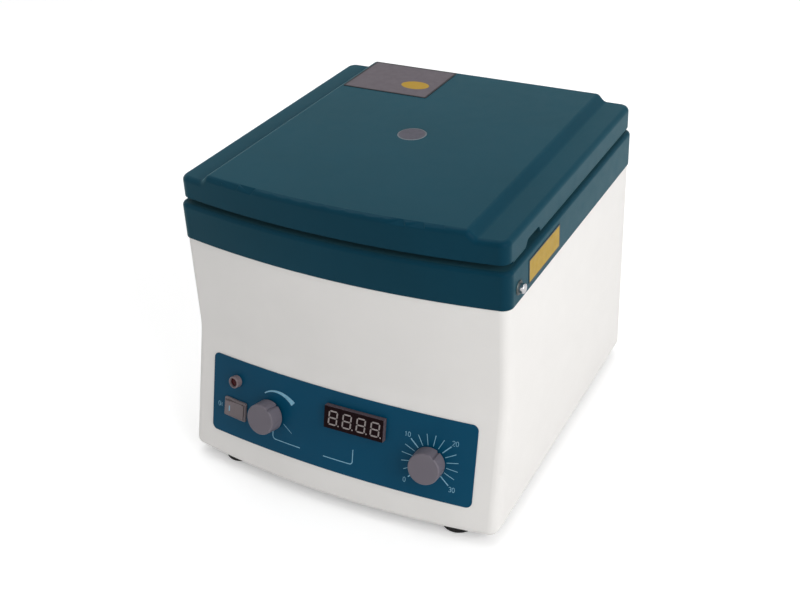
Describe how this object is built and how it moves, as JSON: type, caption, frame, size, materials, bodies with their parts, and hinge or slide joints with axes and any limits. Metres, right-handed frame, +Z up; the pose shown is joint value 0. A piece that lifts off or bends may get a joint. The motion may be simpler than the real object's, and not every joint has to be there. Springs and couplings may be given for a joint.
{
  "type": "microplate centrifuge",
  "caption": "Small bench centrifuge with a bowed and flared case, hinged lid with window, side latch button, speed and timer knobs, rocker switch and plate rotor.",
  "frame": {"origin": "middle of the footprint at the level of the feet", "axes": "+Z up, +Y to the rear where the hinge is, +X to the side with the latch button"},
  "size_m": [0.2644, 0.2936, 0.2382],
  "materials": {
    "white_housing": "fine-grained moulded plastic, warm white",
    "teal_cover": "satin moulded plastic, dark teal",
    "panel_film": "printed film, blue-teal",
    "grey_knob": "satin moulded plastic, mauve grey",
    "black_plastic": "moulded plastic, black",
    "display_face": "filled display face, brown black",
    "lamp_lens": "clear dark red plastic",
    "lid_window": "frosted clear plastic",
    "chrome": "polished chrome plate",
    "stainless": "brushed stainless sheet",
    "zinc_steel": "bright zinc plate",
    "painted_steel": "black powder coat",
    "cast_aluminium": "machined aluminium",
    "brass": "bright brass",
    "copper": "copper bars",
    "carbon": "pressed carbon",
    "black_rubber": "moulded rubber, black",
    "grey_rubber": "soft silicone rubber, grey",
    "circuit_board": "green solder mask",
    "label_grey": "printed film, mauve grey",
    "label_yellow": "printed film, ochre yellow"
  },
  "bodies": {
    "case": {"base_plate": "painted_steel", "board_standoffs": "brass", "brush_holders": "brass", "carbon_brushes": "carbon", "chamber_bowl": "stainless", "chamber_seal": "grey_rubber", "damper_screws": "zinc_steel", "display_board": "circuit_board", "display_module": "display_face", "field_magnets": "carbon", "fuse_holder": "black_plastic", "heat_sink": "cast_aluminium", "hinge_frame_leaves": "stainless", "hinge_pins": "zinc_steel", "housing_screws": "zinc_steel", "inlet_pins": "brass", "lamp_bezel": "chrome", "lamp_lens": "lamp_lens", "latch_bracket": "zinc_steel", "latch_guide": "chrome", "latch_spring": "zinc_steel", "lid_switch": "black_plastic", "main_housing": "white_housing", "motor_bearings": "chrome", "motor_can": "painted_steel", "motor_dampers": "black_rubber", "motor_end_caps": "cast_aluminium", "motor_plate": "zinc_steel", "panel_overlay": "panel_film", "power_board": "circuit_board", "power_inlet": "black_plastic", "rear_screws": "zinc_steel", "rubber_feet": "black_rubber", "shaft_boot": "black_rubber", "shaft_nuts": "zinc_steel", "side_label": "label_yellow", "smoothing_capacitor": "black_plastic", "speed_potentiometer": "zinc_steel", "switch_body": "grey_knob", "timer_movement": "zinc_steel", "upper_frame": "teal_cover"},
    "lid": {"lid_shell": "teal_cover", "lid_liner": "stainless", "lid_screws": "zinc_steel", "window_lens": "lid_window", "window_ring": "black_plastic", "lid_label": "label_grey", "hinge_lid_leaves": "stainless", "latch_hook": "zinc_steel"},
    "rotor": {"motor_shaft": "zinc_steel", "armature": "painted_steel", "commutator": "copper", "rotor_plate": "cast_aluminium", "plate_carriers": "stainless", "rotor_nut": "cast_aluminium"},
    "speed_control": {"speed_knob": "grey_knob"},
    "timer_control": {"timer_knob": "grey_knob"},
    "power_switch_rocker": {"power_rocker": "grey_knob"},
    "lid_release": {"latch_button": "chrome"},
    "lid_interlock": {"lid_switch_plunger": "black_plastic"}
  },
  "joints": [
    {"name": "lid_hinge", "type": "hinge", "parent": "case", "child": "lid", "pos_m": [0, 0.1434, 0.212], "axis": [-1, 0, 0], "range_deg": [0, 80]},
    {"name": "rotor_spin", "type": "hinge", "parent": "case", "child": "rotor", "pos_m": [0, 0.009, 0.1195], "axis": [0, 0, 1], "continuous": true},
    {"name": "speed_knob_turn", "type": "hinge", "parent": "case", "child": "speed_control", "pos_m": [-0.0543, -0.13084, 0.0582], "axis": [-0.0742, -0.9687, 0.2368], "range_deg": [-100, 170]},
    {"name": "timer_knob_turn", "type": "hinge", "parent": "case", "child": "timer_control", "pos_m": [0.0773, -0.129, 0.057], "axis": [0.1056, -0.9658, 0.2368], "range_deg": [-100, 170]},
    {"name": "power_rocker_tilt", "type": "hinge", "parent": "case", "child": "power_switch_rocker", "pos_m": [-0.08673, -0.12776, 0.05167], "axis": [-0.0289, -0.2351, -0.9715], "range_deg": [0, 12]},
    {"name": "latch_button_press", "type": "slide", "parent": "case", "child": "lid_release", "axis": [-1, 0, 0], "range_m": [0, 0.0025], "stiffness_N_per_m": 400, "springref_m": -0.003, "deforming": ["latch_spring"]},
    {"name": "lid_switch_press", "type": "slide", "parent": "case", "child": "lid_interlock", "axis": [0, 0, -1], "range_m": [0, 0.002], "stiffness_N_per_m": 200, "springref_m": -0.002}
  ]
}
